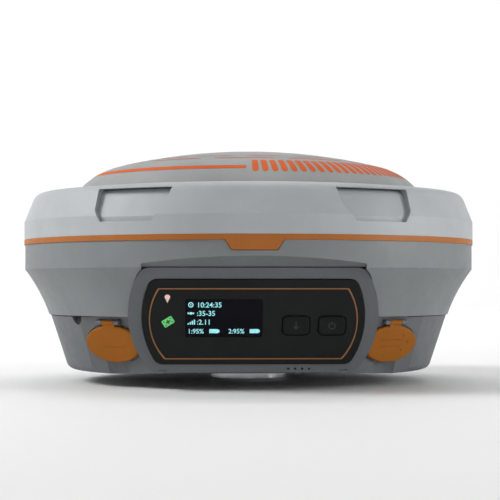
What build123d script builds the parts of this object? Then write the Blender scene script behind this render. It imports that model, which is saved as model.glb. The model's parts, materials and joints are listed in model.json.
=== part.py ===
from build123d import *
from math import cos, sin, tan, radians, sqrt
import os

# A survey-grade GNSS receiver: a round, dual-battery rover head that screws onto a pole.
# Millimetres. Z is up and the display faces -Y. The origin is the antenna reference point:
# the centre of the pole boss's underside.

# ---- Overall sizes ----
BODY_R = 93.0            # radius at the trim band
BOSS_DROP = 5.2          # pole boss below the base's underside
BASE_H = 22.0            # underside to the base seam
LOWER_H = 28.5           # base seam to the trim band
BAND_H = 2.1             # trim band
UPPER_H = 20.4           # trim band to the dome's rim
DOME_R = 71.0            # dome at its rim
DOME_RISE = 16.4         # dome's rim to its crown

# ---- Shell form ----
LOWER_INSET = 0.4        # lower shell's wall inside BODY_R
BELLY_H = 9.9            # straight wall under the trim band
SEAM_INSET = 10.3        # lower shell at the seam, inside BODY_R
TAPER_DIP = 0.9          # hollow of the taper between belly and seam
BASE_STEP = 0.7          # base's rim inside the lower shell
FOOT_INSET = 18.3        # base's underside edge, inside BODY_R
FOOT_ROUND = 3.5
FRONT_FLAT_Y = 48.0      # where the underside starts to rise towards the front
FRONT_RISE = 3.6         # degrees of that rise
SHOULDER_H = 7.3         # upper shell's straight wall
SHOULDER_INSET = 4.6     # upper shell's top edge, inside BODY_R
SHOULDER_DROP = 1.6      # that edge below the dome's rim
SHOULDER_ROUND = 4.5
CROWN_R = 56.0           # dome's shallow crown out to here
CROWN_DROP = 7.0         # crown's edge below its centre
UPPER_WALL = 3.4
LOWER_WALL = 2.6
BASE_WALL = 2.5
BASE_FLOOR = 2.5
DOME_WALL = 2.0
SEAM_GAP = 0.3           # shadow line between base and lower shell
FIT_GAP = 0.15           # fixed pieces that drop into each other
SWING_GAP = 0.35         # beside a piece that moves

# ---- Shell joints ----
SPIGOT_T = 1.8           # locating ring inside a seam
SPIGOT_UP = 3.0
SEAL_T = 1.2
LEDGE_T = 2.5            # ring that carries the dome and the antenna plate
LEDGE_R = 61.0
DOME_SEAT = 2.0          # dome's rim sunk below the upper shell's edge
DOME_SEAL_T = 0.4

# ---- Trim tab and grip pockets ----
TAB_TOP_W = 24.0
TAB_BOTTOM_W = 16.5
TAB_H = 3.7
GRIP_AZIMUTHS = (-150, -30, 30, 150)
GRIP_DEPTH = 1.8
GRIP_W = 32.0
GRIP_RAISE = 5.0         # pocket's lower edge above the trim band
GRIP_TOP_DROP = 3.0      # pocket's upper edge below the dome's rim

# ---- Front bezel and panel ----
PANEL_SET = 18.0         # panel's centre inside BODY_R
PANEL_UP = 20.7          # panel's centre above the underside
PANEL_TILT = 12.6        # degrees, facing slightly down
PANEL_T = 2.4
PANEL_STEP = 0.5         # panel stands proud of the bezel
PANEL_TOP = (37.7, 16.0)     # half width and height of each row of the outline
PANEL_MID = (41.0, 4.0)
PANEL_BOTTOM = (35.5, -16.2)
PANEL_CORNER = 4.0
BEZEL_TOP = (41.0, 20.4)
BEZEL_MID = (46.3, 2.0)
BEZEL_BOTTOM = (37.5, -19.6)
BEZEL_CORNER = 5.0
BEZEL_DEPTH = 13.0
BEZEL_UNDERCUT = 12.0    # degrees; its flanks narrow towards the back
BEZEL_RIM = 2.6          # border left around the through window
HOOD_RISE = 15.5         # degrees, soffit rising towards the front
HOOD_T = 2.4
INLAY_INSET = 2.6
INLAY_W = 0.4
INLAY_DOWN = 0.7         # inlay's outline below the panel's
INLAY_T = 0.5

# ---- Display, buttons and lights on the panel (across, up) ----
WINDOW_AT = (-10.9, 1.3)
WINDOW_SIZE = (28.4, 14.2)
WINDOW_T = 1.2
BUTTON_AT = ((15.7, -1.4), (29.0, -1.4))
BUTTON_SIZE = (9.8, 6.9)
BUTTON_ROUND = 1.6
BUTTON_PROUD = 0.6
BUTTON_TRAVEL = 0.7
BUTTON_FLANGE = 0.8
PIN_AT = (-31.7, 9.3)
SATELLITE_AT = (-31.5, 0.0)
BOARD_DEPTH = 8.0        # front board behind the panel's face
BOARD_T = 1.6
BOARD_SIZE = (66.0, 24.0)
SWITCH_H = 3.0

# ---- Port bays ----
BAY_AZIMUTH = 38.0
BAY_TILT = 18.0
BAY_SET = 17.7           # flat's distance from the axis at BAY_UP, inside BODY_R
BAY_UP = 12.0            # above the underside
COVER_OUT = 7.6          # cover's centre from the flat's middle, away from the bezel
COVER_W = 27.0
COVER_H = 14.8
COVER_T = 1.5
COVER_LIFT = 0.12
PLUG_LIP = 2.6           # plug inside the cover's edge
PLUG_H = 0.9
WELL_DEPTH = 11.0
WELL_WALL = 1.8
COVER_SWING = 105.0
HINGE_BARREL_R = 0.95
HINGE_PIN_R = 0.45
KNUCKLE = 6.0            # cover's hinge barrel
LUG = 2.4                # each fixed ear beside it
PIN_CLEAR = 0.05
SCOOP_R = 11.0
SCOOP_DEPTH = 1.8
SERIAL_R = 4.4
VENT_AZIMUTH = -56.0
VENT_R = 3.2

# ---- Battery bay ----
BATTERY_W = 38.0
BATTERY_T = 18.0
BATTERY_L = 66.0
BATTERY_GAP = 2.0        # rib between the two bays
BATTERY_CLEAR = 0.4
BATTERY_EJECT = 5.0
CRADLE_WALL = 1.6
REAR_SET = 15.0          # rear frame's face inside BODY_R
REAR_DEPTH = 6.5         # frame's land, behind its face
REAR_SKIRT = 11.0
REAR_BORDER = 2.0
REAR_LIFT = 1.0          # rear frame's lower edge above the base seam
DOOR_T = 2.5
DOOR_MARGIN = 1.8        # land around the bays' opening, which carries the door seal
DOOR_ROUND = 4.0
DOOR_SEAL_T = 1.2
DOOR_SWING = 110.0
DOOR_BARREL_R = 1.7
DOOR_PIN_R = 1.0
DOOR_GAP = 0.5
KNOB_R = 6.0
KNOB_T = 2.6
KNOB_INSET = 8.0         # latch axis from the door's free edge
TONGUE_L = 7.2
TONGUE_W = 4.0
TONGUE_T = 1.4
SHAFT_R = 2.0

# ---- Pole boss and boards ----
BOSS_R = 16.0
BOSS_FLANGE_R = 22.0
BOSS_FLANGE_T = 3.0
THREAD_R = 6.75          # tap drill of the 5/8 inch, 11 per inch pole thread
THREAD_L = 15.0
BOSS_CHAMFER = 1.2
MAIN_Z = 18.0            # main board above the underside
MAIN_R = 56.0
PLATE_R = 66.0
PLATE_T = 1.6
PATCH_LOWER_R = 45.0
PATCH_UPPER_R = 32.0
PATCH_LOWER_T = 5.0
PATCH_UPPER_T = 4.0
PATCH_GAP = 0.6
SCREW_R = 1.5
SCREW_HEAD_R = 2.8
SCREW_HEAD_T = 1.8
COLUMN_R = 4.5
COAX_R = 0.9
COAX_TOP = (-18.0, -20.0)    # lead's upper and lower ends, across and back
COAX_LOW = (-32.0, -24.0)
COLUMN_AZIMUTHS = (-124, -96, -68, 68, 96, 124)
COLUMN_INSET = 24.5      # screw columns inside BODY_R

# ---- Levels ----
Z_BASE = BOSS_DROP
Z_SEAM = Z_BASE + BASE_H
Z_BAND = Z_SEAM + LOWER_H
Z_BAND_TOP = Z_BAND + BAND_H
Z_RIM = Z_BAND_TOP + UPPER_H
Z_LEDGE = Z_RIM - DOME_SEAT
Z_CROWN = Z_RIM + DOME_RISE
Z_MAIN = Z_BASE + MAIN_Z
REAR_Y = BODY_R - REAR_SET

DOOR_W = 2 * (BATTERY_W + BATTERY_CLEAR + DOOR_MARGIN) + BATTERY_GAP
DOOR_H = BATTERY_T + 2 * (BATTERY_CLEAR + DOOR_MARGIN)
Z_BATTERY = Z_SEAM + REAR_LIFT + REAR_BORDER + DOOR_H / 2
BATTERY_X = (BATTERY_W + BATTERY_GAP) / 2
LAND_Y = REAR_Y - DOOR_T - DOOR_SEAL_T
TONGUE_Y = REAR_Y - REAR_DEPTH - 0.4
BATTERY_END = TONGUE_Y - TONGUE_T - 0.7
HINGE_X = DOOR_W / 2 + 0.25
HINGE_Y = REAR_Y + DOOR_BARREL_R + 0.3
CRADLE_X = BATTERY_W + BATTERY_GAP / 2 + BATTERY_CLEAR + CRADLE_WALL
CRADLE_Z = Z_BATTERY - BATTERY_T / 2 - BATTERY_CLEAR - CRADLE_WALL

PARTS = {}


def keep(name, shape):
    """Hold a finished piece until it is written."""
    PARTS[name] = shape
    return shape


def turn(*lines):
    """Solid of revolution about Z, from joined lines drawn in radius and height."""
    return revolve(make_face(Plane.XZ * (Curve() + list(lines))), Axis.Z)


def ring(inner, outer, bottom, top):
    """A plain ring about Z."""
    body = Pos(0, 0, bottom) * extrude(Circle(outer), top - bottom)
    return body - Pos(0, 0, bottom - 1) * extrude(Circle(inner), top - bottom + 2)


def disc(radius, bottom, top):
    """A plain disc about Z."""
    return Pos(0, 0, bottom) * extrude(Circle(radius), top - bottom)


def block(x, y, z):
    """A box from three (low, high) pairs."""
    size = Box(x[1] - x[0], y[1] - y[0], z[1] - z[0])
    return Pos((x[0] + x[1]) / 2, (y[0] + y[1]) / 2, (z[0] + z[1]) / 2) * size


def polar(radius, azimuth, z=0.0):
    """Point at an azimuth counted from the front (-Y) towards +X."""
    return (radius * sin(radians(azimuth)), -radius * cos(radians(azimuth)), z)


def facing(azimuth, distance, z, tilt=0.0):
    """Plane that faces outward at an azimuth and leans down by tilt; x runs across, y runs up."""
    a = radians(azimuth)
    t = radians(tilt)
    normal = (sin(a) * cos(t), -cos(a) * cos(t), -sin(t))
    return Plane(origin=polar(distance, azimuth, z), x_dir=(cos(a), sin(a), 0), z_dir=normal)


def oval(width, height):
    return Ellipse(width / 2, height / 2)


def rounded(width, height, radius):
    return RectangleRounded(width, height, radius)


def shield_outline(top, mid, bottom, corner, inset=0.0):
    """Front outline: straight top and bottom, bulging sides, rounded corners."""
    a = (top[0] - inset, top[1] - inset)
    b = (mid[0] - inset, mid[1])
    c = (bottom[0] - inset, bottom[1] + inset)
    right = ThreePointArc(c, b, a)
    left = ThreePointArc((-a[0], a[1]), (-b[0], b[1]), (-c[0], c[1]))
    upper = Line(a, (-a[0], a[1]))
    lower = Line((-c[0], c[1]), c)
    face = make_face(Curve() + [right, upper, left, lower])
    if corner > 0:
        face = fillet(face.vertices(), corner)
    return face


# ---- Bodies of revolution ----

def base_solid(inset=0.0):
    """Base housing's outer form, shrunk by inset."""
    rim = BODY_R - SEAM_INSET - BASE_STEP - inset
    foot = BODY_R - FOOT_INSET - inset
    floor = Z_BASE + (BASE_FLOOR if inset else 0.0)
    body = turn(Polyline((0, floor), (foot, floor), (rim, Z_SEAM), (0, Z_SEAM), (0, floor)))
    low_edge = body.edges().filter_by(GeomType.CIRCLE).sort_by(Axis.Z)[0]
    return fillet(low_edge, FOOT_ROUND)


def lower_solid(inset=0.0):
    """Lower shell's outer form, shrunk by inset."""
    wall = BODY_R - LOWER_INSET - inset
    seam = BODY_R - SEAM_INSET - inset
    corner = Z_BAND - BELLY_H
    floor = Z_SEAM + SEAM_GAP
    middle = ((wall + seam) / 2 - TAPER_DIP, (floor + corner) / 2)
    return turn(
        Line((0, floor), (seam, floor)),
        ThreePointArc((seam, floor), middle, (wall, corner)),
        Polyline((wall, corner), (wall, Z_BAND), (0, Z_BAND), (0, floor)),
    )


def upper_solid(inset=0.0, top_gap=0.0):
    """Upper shell's outer form, shrunk by inset."""
    wall = BODY_R - inset
    shoulder = Z_BAND_TOP + SHOULDER_H - inset / 4
    edge = (BODY_R - SHOULDER_INSET - inset, Z_RIM - SHOULDER_DROP - inset)
    body = turn(
        Polyline(
            (0, Z_BAND_TOP), (wall, Z_BAND_TOP), (wall, shoulder), edge,
            (DOME_R, Z_RIM - inset - top_gap), (0, Z_RIM - inset - top_gap), (0, Z_BAND_TOP),
        )
    )
    circles = body.edges().filter_by(GeomType.CIRCLE)
    near = [e for e in circles if abs(e.radius - edge[0]) < 0.01]
    return fillet(near, SHOULDER_ROUND)


def dome_solid(inset=0.0):
    """Dome's outer form, shrunk by inset."""
    top = Z_CROWN - inset
    edge = (CROWN_R, top - CROWN_DROP)
    rim = (DOME_R - inset, Z_RIM)
    bow = (CROWN_R ** 2 + CROWN_DROP ** 2) / (2 * CROWN_DROP)
    slope = CROWN_R / bow
    crown = TangentArc((0, top), edge, tangent=(1, 0))
    skirt = TangentArc(edge, rim, tangent=(sqrt(1 - slope ** 2), -slope))
    return turn(crown, skirt, Polyline(rim, (rim[0], Z_LEDGE), (0, Z_LEDGE), (0, top)))


# ---- Shared planes and cutters ----

PANEL = facing(0, BODY_R - PANEL_SET, Z_BASE + PANEL_UP, PANEL_TILT)
BELOW = 60.0             # longer than any cut has to be


def bay_plane(side):
    """Flat behind a port cover; side is 1 on the right and -1 on the left."""
    return facing(side * BAY_AZIMUTH, BODY_R - BAY_SET, Z_BASE + BAY_UP, BAY_TILT)


def cover_place(side, out=0.0):
    """Middle of a port cover, raised off its flat."""
    return bay_plane(side) * Pos(side * COVER_OUT, 0, out)


def bezel_outline(inset=0.0):
    return shield_outline(BEZEL_TOP, BEZEL_MID, BEZEL_BOTTOM, BEZEL_CORNER, inset)


def bezel_block(grow=0.0):
    """Bezel's outer form: its flanks draw in towards the back."""
    behind = extrude(bezel_outline(-grow), -BEZEL_DEPTH - grow, taper=BEZEL_UNDERCUT)
    return PANEL * behind


def bezel_cutter():
    """Opening for the bezel, cleared straight out to the front."""
    return bezel_block(FIT_GAP) + extrude(PANEL * bezel_outline(-FIT_GAP), BELOW, dir=(0, -1, 0))


def hood_cutter(lift=0.0):
    """Wedge over the bezel whose top is the hood's soffit."""
    top = PANEL * Pos(0, BEZEL_TOP[1] + FIT_GAP, 0)
    y = top.position.Y + 1.0
    z = top.position.Z + lift
    run = BELOW
    rise = run * tan(radians(HOOD_RISE))
    low = z - 12
    outline = Polyline((y, z), (y - run, z + rise), (y - run, low), (y, low), (y, z))
    return extrude(make_face(Plane.YZ * outline), BEZEL_TOP[0] + FIT_GAP, both=True)


def underside_ramp():
    """What is cut away so that the underside rises towards the front."""
    run = BELOW
    rise = run * tan(radians(FRONT_RISE))
    side = make_face(Plane.YZ * Polyline(
        (-FRONT_FLAT_Y, Z_BASE), (-FRONT_FLAT_Y - run, Z_BASE + rise),
        (-FRONT_FLAT_Y - run, Z_BASE - 5), (-FRONT_FLAT_Y, Z_BASE - 5), (-FRONT_FLAT_Y, Z_BASE)))
    return extrude(side, BODY_R, both=True)


def tab_prism(grow=0.0):
    """Trim tab's front outline, through the wall."""
    top = TAB_TOP_W / 2 + grow
    low = TAB_BOTTOM_W / 2 + grow
    z = Z_BAND - TAB_H - grow
    outline = Polyline((-top, Z_BAND_TOP), (top, Z_BAND_TOP), (low, z), (-low, z), (-top, Z_BAND_TOP))
    return extrude(make_face(Plane.XZ * outline), BODY_R + 10, dir=(0, -1, 0))


def columns(radius, bottom, top):
    """Upright cylinders where the base screws stand."""
    rod = Pos(0, 0, bottom) * extrude(Circle(radius), top - bottom)
    return [Pos(*polar(BODY_R - COLUMN_INSET, a)) * rod for a in COLUMN_AZIMUTHS]


# ---- Shells ----

def make_upper_shell():
    wall = upper_solid() - upper_solid(UPPER_WALL)
    spread = DOME_R + DOME_SEAL_T
    wall += ring(LEDGE_R, spread + 3.0, Z_LEDGE - LEDGE_T, Z_LEDGE)
    wall -= disc(spread, Z_LEDGE, Z_RIM + 1)
    wall -= disc(LEDGE_R, Z_BAND_TOP - 1, Z_RIM + 1)
    skin = upper_solid() - upper_solid(GRIP_DEPTH)
    for azimuth in GRIP_AZIMUTHS:
        wall -= skin & grip_prism(azimuth)
    inside = BODY_R - UPPER_WALL
    wall += ring(inside - SPIGOT_T - 1.5, inside + 0.5, seal_top(), seal_top() + 2.0)
    for place in plate_screw_places(Z_LEDGE - LEDGE_T - 1):
        wall -= place * extrude(Circle(SCREW_R), LEDGE_T + 2)
    return wall


def seal_top():
    return Z_BAND_TOP + SPIGOT_UP + SEAL_T


def grip_prism(azimuth):
    """Grip pocket's outline: lower corners cut off, the front one most."""
    low = Z_BAND_TOP + GRIP_RAISE
    top = Z_RIM - GRIP_TOP_DROP
    half = GRIP_W / 2
    front = 1 if abs(azimuth) < 90 else -1
    near = -half * front if azimuth > 0 else half * front
    far = -near
    sign = 1 if near > 0 else -1
    outline = Polyline(
        (near, top), (near - sign * 1.0, low + 6.5), (near - sign * 6.0, low),
        (far + sign * 3.5, low), (far + sign * 0.5, low + 4.5), (far, top), (near, top))
    plane = facing(azimuth, 0, 0)
    return extrude(make_face(plane * outline), BODY_R + 10, dir=plane.z_dir)


def make_dome_cover():
    shell = dome_solid() - dome_solid(DOME_WALL)
    return shell - disc(DOME_R - DOME_WALL, Z_LEDGE - 1, Z_LEDGE + 1)


def make_lower_shell():
    outer = lower_solid()
    wall = outer - lower_solid(LOWER_WALL) - disc(BODY_R - SEAM_INSET - LOWER_WALL, Z_SEAM, Z_SEAM + 1)
    spigot_r = BODY_R - UPPER_WALL - FIT_GAP
    spigot = ring(spigot_r - SPIGOT_T, spigot_r, Z_BAND - 4.0, Z_BAND_TOP + SPIGOT_UP)
    root = ring(spigot_r - SPIGOT_T, BODY_R - LOWER_INSET - 1, Z_BAND - 4.0, Z_BAND)
    half = BEZEL_TOP[0] + 4
    brow = outer & block((-half, half), (-BODY_R, -REAR_Y + 2), (Z_SEAM + 10, Z_BAND - 2))
    brow = brow - hood_cutter() & hood_cutter(HOOD_T)
    lug_box = block((BODY_R - COLUMN_INSET - COLUMN_R, BODY_R - 4), (-COLUMN_R, COLUMN_R),
                    (Z_SEAM + SEAM_GAP, Z_SEAM + 8))
    wall = wall + spigot + root + brow
    for azimuth in COLUMN_AZIMUTHS:
        wall += outer & (Rot(0, 0, azimuth - 90) * lug_box)
    for hole in columns(SCREW_R, Z_SEAM - 1, Z_SEAM + 7):
        wall -= hole
    inner = base_spigot_r()
    wall -= ring(inner - SPIGOT_T - FIT_GAP, inner + FIT_GAP, Z_SEAM, Z_SEAM + SPIGOT_UP + FIT_GAP)
    wall = wall - bezel_cutter() - hood_cutter() - tab_prism(FIT_GAP)
    return wall - rear_cutter()


def rear_outline(inset=0.0):
    """Rear frame's outline."""
    half = DOOR_W / 2 + REAR_BORDER - inset
    tall = DOOR_H / 2 + REAR_BORDER - inset
    face = Rectangle(2 * half, 2 * tall)
    return fillet(face.vertices(), DOOR_ROUND + REAR_BORDER - inset)


def rear_plane(y=REAR_Y):
    """Upright plane that faces the back; x runs to the left side."""
    return Plane(origin=(0, y, Z_BATTERY), x_dir=(-1, 0, 0), z_dir=(0, 1, 0))


def rear_cutter():
    face = rear_plane(REAR_Y - REAR_SKIRT - FIT_GAP) * rear_outline(-FIT_GAP)
    return extrude(face, BELOW)


def make_trim_band():
    band = ring(BODY_R - UPPER_WALL, BODY_R, Z_BAND, Z_BAND_TOP)
    tab = ring(BODY_R - UPPER_WALL, BODY_R, Z_BAND - TAB_H, Z_BAND_TOP) & tab_prism()
    return band + tab


def bay_form(side):
    """Solid mass behind a port flat, which the well is cut from."""
    plane = bay_plane(side)
    slab = plane * Pos(0, 0, -BASE_WALL / 2) * Box(COVER_W + 22, BELOW, BASE_WALL)
    wide, tall = well_size()
    outline = oval(wide + 2 * WELL_WALL, tall + 2 * WELL_WALL)
    tube = cover_place(side) * extrude(outline, -WELL_DEPTH - WELL_WALL)
    return base_solid() & (slab + tube)


def well_size():
    return (COVER_W - 2 * PLUG_LIP, COVER_H - 2 * PLUG_LIP)


def bay_cutter(side):
    """Everything outside a port flat, the well in it and the finger scoop below it."""
    plane = bay_plane(side)
    outside = plane * Pos(0, 0, 30) * Box(3 * COVER_W, BELOW, 60)
    well = cover_place(side, 1) * extrude(oval(*well_size()), -WELL_DEPTH - 1)
    groove = cover_place(side, 1) * extrude(oval(COVER_W + 1.2, COVER_H + 1.2), -1.6)
    groove -= cover_place(side, 2) * extrude(oval(COVER_W - 0.6, COVER_H - 0.6), -4)
    scoop = cover_place(side) * Pos(0, -COVER_H / 2 + 1.5, SCOOP_R - SCOOP_DEPTH)
    scoop = scoop * Rot(90, 0, 0) * extrude(Circle(SCOOP_R), 25)
    return [outside, well, groove, scoop]


def base_spigot_r():
    """Outer radius of the base's ring inside the lower shell."""
    return BODY_R - SEAM_INSET - LOWER_WALL - FIT_GAP


def make_base_housing():
    body = base_solid() - base_solid(BASE_WALL)
    inner_rim = base_spigot_r()
    body += ring(inner_rim - SPIGOT_T, inner_rim, Z_SEAM - 3.0, Z_SEAM + SPIGOT_UP)
    for side in (-1, 1):
        body += bay_form(side)
    for post in columns(COLUMN_R, Z_BASE + 1, Z_SEAM):
        body += post
    for post in cradle_posts():
        body += post
    for rod in board_posts():
        body += rod
    for side in (-1, 1):
        for tool in bay_cutter(side):
            body -= tool
        body -= socket_hole(side)
    for hole in columns(SCREW_R + 0.1, Z_BASE - 1, Z_SEAM + 1):
        body -= hole
    for head in columns(SCREW_HEAD_R + 0.2, Z_BASE - 1, Z_BASE + SCREW_HEAD_T + 0.4):
        body -= head
    body = body - bezel_cutter() - rear_cutter() - underside_ramp()
    body -= disc(BOSS_R + FIT_GAP, Z_BASE - 1, Z_BASE + BASE_FLOOR + 1)
    for place in boss_screw_places(Z_BASE - 1):
        body -= place * extrude(Circle(SCREW_R * 0.8), BASE_FLOOR + 1.5)
    body -= vent_place() * extrude(Circle(VENT_R), -BASE_WALL * 4)
    return body


def vent_place(out=4.0):
    return facing(VENT_AZIMUTH, BODY_R - SEAM_INSET - BASE_STEP + out, Z_SEAM)


def make_breather_vent():
    plug = vent_place(-1.6) * extrude(Circle(VENT_R - FIT_GAP), -2.4)
    return plug & disc(BODY_R, Z_BASE, Z_SEAM - FIT_GAP)


# ---- Front bezel, panel and what they carry ----

def on_panel(at, depth=0.0):
    """Place on the panel's face, depth below it."""
    return PANEL * Pos(at[0], at[1], PANEL_STEP - depth)


def panel_outline(inset=0.0, corner=PANEL_CORNER):
    return shield_outline(PANEL_TOP, PANEL_MID, PANEL_BOTTOM, corner, inset)


def make_front_bezel():
    body = bezel_block()
    body -= PANEL * Pos(0, 0, 1) * extrude(panel_outline(-FIT_GAP), PANEL_STEP - PANEL_T - 1)
    body -= PANEL * Pos(0, 0, 1) * extrude(panel_outline(BEZEL_RIM), -BEZEL_DEPTH - 3)
    bar_depth = BOARD_DEPTH + BOARD_T
    for side in (-1, 1):
        bar = Box(10, 21, BEZEL_DEPTH - bar_depth, align=(Align.CENTER, Align.CENTER, Align.MAX))
        body += bezel_block() & on_panel((side * (BOARD_SIZE[0] / 2 + 2), 0), bar_depth) * bar
        body -= PANEL * Pos(side * (BEZEL_BOTTOM[0] - 4), BEZEL_BOTTOM[1], 0) * Box(3.0, 2.6, 2.4)
    for hole in sound_holes():
        body -= hole
    for place in board_screw_places(-BEZEL_DEPTH):
        body -= place * extrude(Circle(SCREW_R * 0.6), BEZEL_DEPTH)
    return body - underside_ramp()


def sound_holes():
    drill = extrude(Circle(0.4), -2.5)
    return [PANEL * Pos(13 + 2.6 * i, BEZEL_BOTTOM[1] + 1.5, 0) * drill for i in range(4)]


def board_screw_places(height):
    half = BOARD_SIZE[0] / 2 - 2.5
    return [PANEL * Pos(x, y, height) for x in (-half, half) for y in (-8.5, 4.8)]


def make_front_panel():
    plate = PANEL * Pos(0, 0, PANEL_STEP) * extrude(panel_outline(), -PANEL_T)
    wide, tall = WINDOW_SIZE
    plate -= on_panel(WINDOW_AT, -1) * extrude(rounded(wide + 0.2, tall + 0.2, 0.6), -WINDOW_T - 1)
    plate -= on_panel(WINDOW_AT, -1) * extrude(rounded(wide - 1.6, tall - 1.2, 0.4), -PANEL_T - 2)
    for at in BUTTON_AT:
        size = (BUTTON_SIZE[0] + 2 * SWING_GAP, BUTTON_SIZE[1] + 2 * SWING_GAP)
        plate -= on_panel(at, -1) * extrude(rounded(*size, BUTTON_ROUND + SWING_GAP), -PANEL_T - 2)
    plate -= on_panel((0, -INLAY_DOWN), -1) * extrude(inlay_ring(0.03), -INLAY_T - 1)
    plate -= on_panel(PIN_AT, -1) * extrude(pin_outline(0.05), -PANEL_T - 2)
    plate -= on_panel(SATELLITE_AT, -1) * extrude(satellite_outline(0.05), -PANEL_T - 2)
    return plate


def inlay_ring(grow=0.0):
    outside = panel_outline(INLAY_INSET - grow, 1.0)
    return outside - panel_outline(INLAY_INSET + INLAY_W + grow, 0.6)


def make_panel_inlay():
    return on_panel((0, -INLAY_DOWN)) * extrude(inlay_ring(), -INLAY_T)


def pin_outline(grow=0.0):
    """Map pin: a round head that tapers to a point."""
    r = 0.98 + grow
    low = -2.1 - grow
    return Circle(r) + make_face(Polyline((-r * 0.9, -0.3), (0, low), (r * 0.9, -0.3), (-r * 0.9, -0.3)))


def satellite_outline(grow=0.0):
    return Rot(0, 0, 32) * RectangleRounded(4.2 + 2 * grow, 2.8 + 2 * grow, 0.4)


def make_lenses():
    depth = PANEL_T + 2.4
    keep("location_lens", on_panel(PIN_AT) * extrude(pin_outline(), -depth))
    keep("satellite_lens", on_panel(SATELLITE_AT) * extrude(satellite_outline(), -depth))
    chip = Box(2.4, 1.8, 1.2, align=(Align.CENTER, Align.CENTER, Align.MIN))
    chips = [on_panel(at, BOARD_DEPTH) * chip for at in (PIN_AT, SATELLITE_AT)]
    keep("status_leds", Compound(chips))


def make_button(at):
    """Key cap with a retaining flange and a stem that presses the switch."""
    cap_top = BUTTON_PROUD
    back = PANEL_T + 0.05
    cap = on_panel(at, -cap_top) * extrude(rounded(*BUTTON_SIZE, BUTTON_ROUND), -cap_top - back - 0.1)
    cap = fillet((cap.faces().sort_by(Axis.Y)[0]).edges(), 0.45)
    flange = rounded(BUTTON_SIZE[0] + 2.0, BUTTON_SIZE[1] + 2.0, BUTTON_ROUND + 1)
    stem_end = BOARD_DEPTH - SWITCH_H - BUTTON_TRAVEL - 0.05
    body = cap + on_panel(at, back) * extrude(flange, -BUTTON_FLANGE)
    return body + on_panel(at, back) * extrude(Circle(1.5), -(stem_end - back))


def make_switches():
    base = Box(6, 6, SWITCH_H, align=(Align.CENTER, Align.CENTER, Align.MIN))
    return Compound([on_panel(at, BOARD_DEPTH) * base for at in BUTTON_AT])


def make_front_board():
    board = on_panel((0, 0), BOARD_DEPTH) * extrude(rounded(*BOARD_SIZE, 1.5), -BOARD_T)
    for place in board_screw_places(-BEZEL_DEPTH):
        board -= place * extrude(Circle(SCREW_R * 0.6 + 0.2), BEZEL_DEPTH)
    return board


def screw(radius, length, head_r, head_t):
    """Pan-head screw pointing down local z, its seat at the origin, with a socket in its head."""
    head = extrude(Circle(head_r), head_t)
    body = head + extrude(Circle(radius), -length)
    return body - Pos(0, 0, head_t * 0.4) * extrude(RegularPolygon(head_r * 0.45, 6), head_t)


def make_board_screws():
    one = screw(SCREW_R * 0.6 - 0.05, 3.2, 1.7, 1.0)
    seat = PANEL_STEP - BOARD_DEPTH
    return Compound([place * one for place in board_screw_places(seat)])


def make_display():
    depth = PANEL_T + 0.1
    window = on_panel(WINDOW_AT) * extrude(rounded(*WINDOW_SIZE, 0.5), -WINDOW_T)
    module = on_panel((WINDOW_AT[0], WINDOW_AT[1] - 0.6), depth) * Box(
        WINDOW_SIZE[0] + 4, WINDOW_SIZE[1] + 5, 1.8, align=(Align.CENTER, Align.CENTER, Align.MAX))
    keep("display_window", window)
    keep("display_module", module)


# ---- Port bays ----

def cover_axis(side):
    """Hinge line of a port cover: along the top of the oval."""
    up = COVER_H / 2 + HINGE_BARREL_R + SWING_GAP
    return bay_plane(side) * Pos(side * COVER_OUT, up, COVER_LIFT + HINGE_BARREL_R)


def barrel(place, radius, length):
    return place * Rot(0, 90, 0) * Cylinder(radius, length)


def make_port_cover(side):
    """Soft oval cover with a shallow plug and a hinge barrel."""
    start = cover_place(side, COVER_LIFT)
    plate = start * extrude(oval(COVER_W, COVER_H), COVER_T)
    outer = plate.edges().sort_by(lambda edge: bay_plane(side).to_local_coords(edge.center()).Z)[-1]
    plate = fillet(outer, 0.7)
    wide, tall = well_size()
    plug = start * extrude(oval(wide - 2.4, tall - 2.4), -PLUG_H - COVER_LIFT)
    place = cover_axis(side)
    knuckle = barrel(place, HINGE_BARREL_R, KNUCKLE)
    web = place * Pos(0, -1.6, -0.15) * Box(KNUCKLE, 3.2, 1.5)
    body = plate + plug + knuckle + web
    body -= barrel(place, HINGE_PIN_R + PIN_CLEAR, KNUCKLE + 2)
    return body - icon_grooves(side)


def icon_grooves(side):
    """Two shallow lines on the cover's face."""
    top = cover_place(side, COVER_LIFT + COVER_T)
    bars = [top * Pos(-side * 1.0, y, 0) * Box(11, 0.45, 0.3) for y in (-1.0, 1.6)]
    dots = [top * Pos(side * x, y, 0) * Cylinder(0.45, 0.4) for x, y in ((5.4, 3.6), (8.2, 0.8), (5.4, -2.4))]
    return bars + dots if side > 0 else bars[:1]


def cover_lugs(side):
    """Ears on the flat that hold the hinge pin."""
    place = cover_axis(side)
    shift = KNUCKLE / 2 + 0.2 + LUG / 2
    ears = []
    for x in (-shift, shift):
        ear = barrel(place * Pos(x, 0, 0), HINGE_BARREL_R, LUG)
        foot = place * Pos(x, 0, -HINGE_BARREL_R) * Box(LUG, 2 * HINGE_BARREL_R, 2 * HINGE_BARREL_R)
        ears.append(ear + foot)
    return ears


def pin_length():
    return KNUCKLE + 2 * LUG + 0.4


def make_cover_pins():
    pins = [barrel(cover_axis(side), HINGE_PIN_R, pin_length()) for side in (-1, 1)]
    return Compound(pins)


def socket_hole(side):
    """Hole through a well's back wall for its connectors."""
    if side < 0:
        return cover_place(side, -WELL_DEPTH + 1) * extrude(Circle(SERIAL_R - 0.6), -8)
    slot = Pos(-5.2, 0, 0) * rounded(9.4, 3.8, 1.6) + Pos(5.6, 0, 0) * rounded(9.0, 2.6, 0.4)
    return cover_place(side, -WELL_DEPTH + 1) * extrude(slot, -8)


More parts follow.
